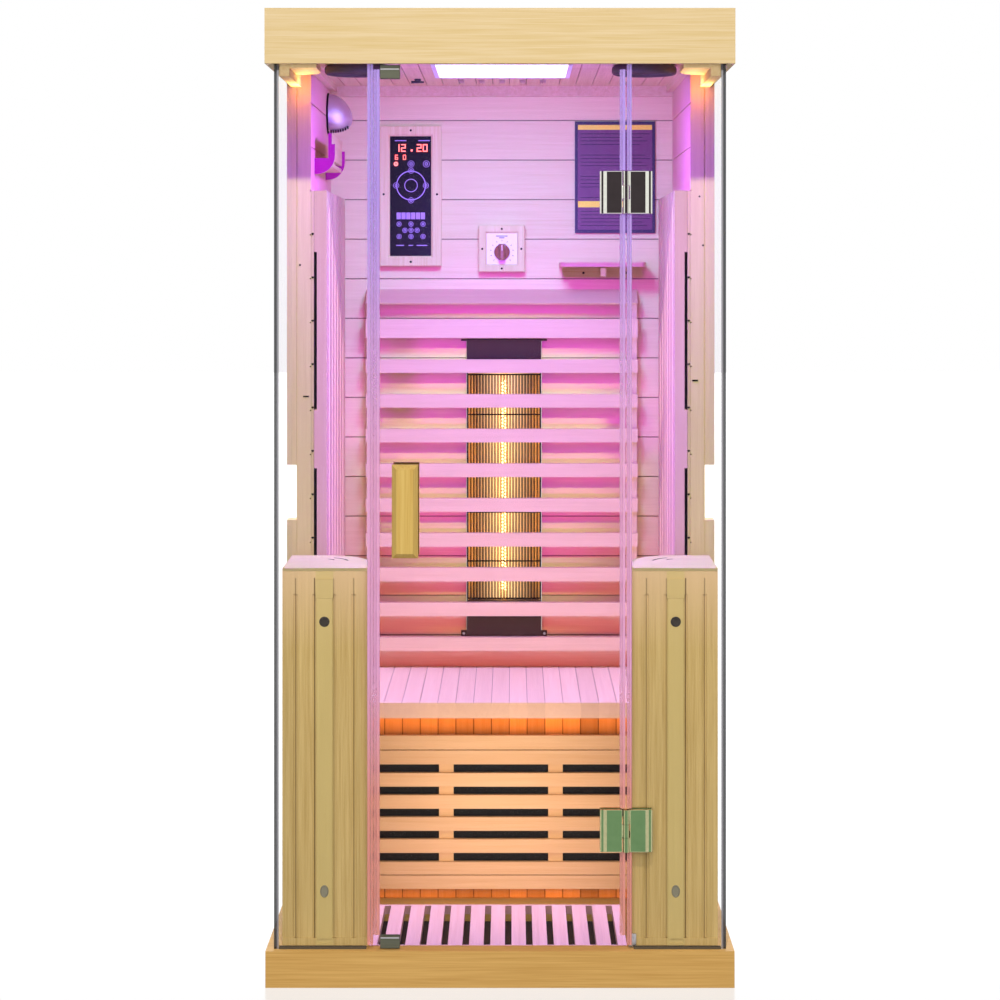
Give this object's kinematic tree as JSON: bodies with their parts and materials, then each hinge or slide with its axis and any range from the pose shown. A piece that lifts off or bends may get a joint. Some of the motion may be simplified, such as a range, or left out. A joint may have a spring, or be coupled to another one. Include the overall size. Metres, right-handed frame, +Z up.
{
  "type": "infrared sauna cabin",
  "caption": "Upright wooden infrared sauna cabin with glass front and hinged glass door, slatted bench and backrest, radiant heaters behind grilles and a lit ceiling.",
  "frame": {"origin": "Centre of the underside of the base, on the floor the cabin stands on.", "axes": "+Z is up, the glass front and its door face -Y, +X is to the right of someone facing the front."},
  "size_m": [0.9, 0.924, 1.873],
  "materials": {
    "pale_wood": "satin",
    "base_wood": "satin",
    "box_wood": "satin",
    "handle_wood": "satin",
    "clear_glass": "polished",
    "clear_seal": "clear",
    "hinge_chrome": "polished",
    "catch_steel": "brushed",
    "black_heater": "matte",
    "heater_black_steel": "satin",
    "gold_reflector": "polished",
    "heater_quartz": "glowing",
    "lamp_white": "satin",
    "lamp_diffuser": "glowing",
    "speaker_black": "matte",
    "unit_grey": "matte",
    "panel_black_glass": "polished",
    "dial_wood": "satin",
    "knob_brown": "satin",
    "board_violet": "matte",
    "lamp_dome": "satin"
  },
  "bodies": {
    "cabin": {"left_wall": "pale_wood", "right_wall": "pale_wood", "back_wall": "pale_wood", "ceiling_panel": "pale_wood", "roof_cover": "pale_wood", "floor_grille": "pale_wood", "roof_front_board": "pale_wood", "roof_back_board": "pale_wood", "roof_left_board": "pale_wood", "roof_right_board": "pale_wood", "left_top_rail": "pale_wood", "right_top_rail": "pale_wood", "left_side_guard": "pale_wood", "right_side_guard": "pale_wood", "bench_seat": "pale_wood", "bench_panel": "pale_wood", "kick_grille": "pale_wood", "backrest": "pale_wood", "control_panel_frame": "pale_wood", "wall_shelf": "pale_wood", "magazine_rack": "pale_wood", "left_heater_box_lid": "pale_wood", "right_heater_box_lid": "pale_wood", "base_platform": "base_wood", "left_heater_box": "box_wood", "right_heater_box": "box_wood", "left_side_glass": "clear_glass", "right_side_glass": "clear_glass", "left_front_glass": "clear_glass", "right_front_glass": "clear_glass", "upper_hinge_pane_leaf": "hinge_chrome", "lower_hinge_pane_leaf": "hinge_chrome", "floor_heater": "black_heater", "left_side_heater": "black_heater", "right_side_heater": "black_heater", "leg_heater": "black_heater", "left_heater_box_panel": "black_heater", "right_heater_box_panel": "black_heater", "heater_housing": "heater_black_steel", "heater_guard": "heater_black_steel", "heater_reflector": "gold_reflector", "heater_tube": "heater_quartz", "ceiling_lamp_frame": "lamp_white", "ceiling_lamp_diffuser": "lamp_diffuser", "left_speaker": "speaker_black", "right_speaker": "speaker_black", "control_unit": "unit_grey", "control_panel": "panel_black_glass", "dial_plate": "dial_wood", "notice_board": "board_violet", "wall_lamp": "lamp_dome"},
    "door": {"door_glass": "clear_glass", "door_edge_seal": "clear_seal", "upper_hinge_door_leaf": "hinge_chrome", "lower_hinge_door_leaf": "hinge_chrome", "outer_handle": "handle_wood", "inner_handle": "handle_wood", "top_catch": "catch_steel", "bottom_catch": "catch_steel"},
    "knob": {"dial_knob": "knob_brown"}
  },
  "joints": [
    {"name": "door_swing", "type": "hinge", "parent": "cabin", "child": "door", "pos_m": [0.2416, -0.44, 0.9], "axis": [0, 0, 1], "range_deg": [0, 110]},
    {"name": "knob_turn", "type": "hinge", "parent": "cabin", "child": "knob", "pos_m": [0.0005, 0.36, 1.416], "axis": [0, 1, 0], "range_deg": [-135, 135]}
  ]
}
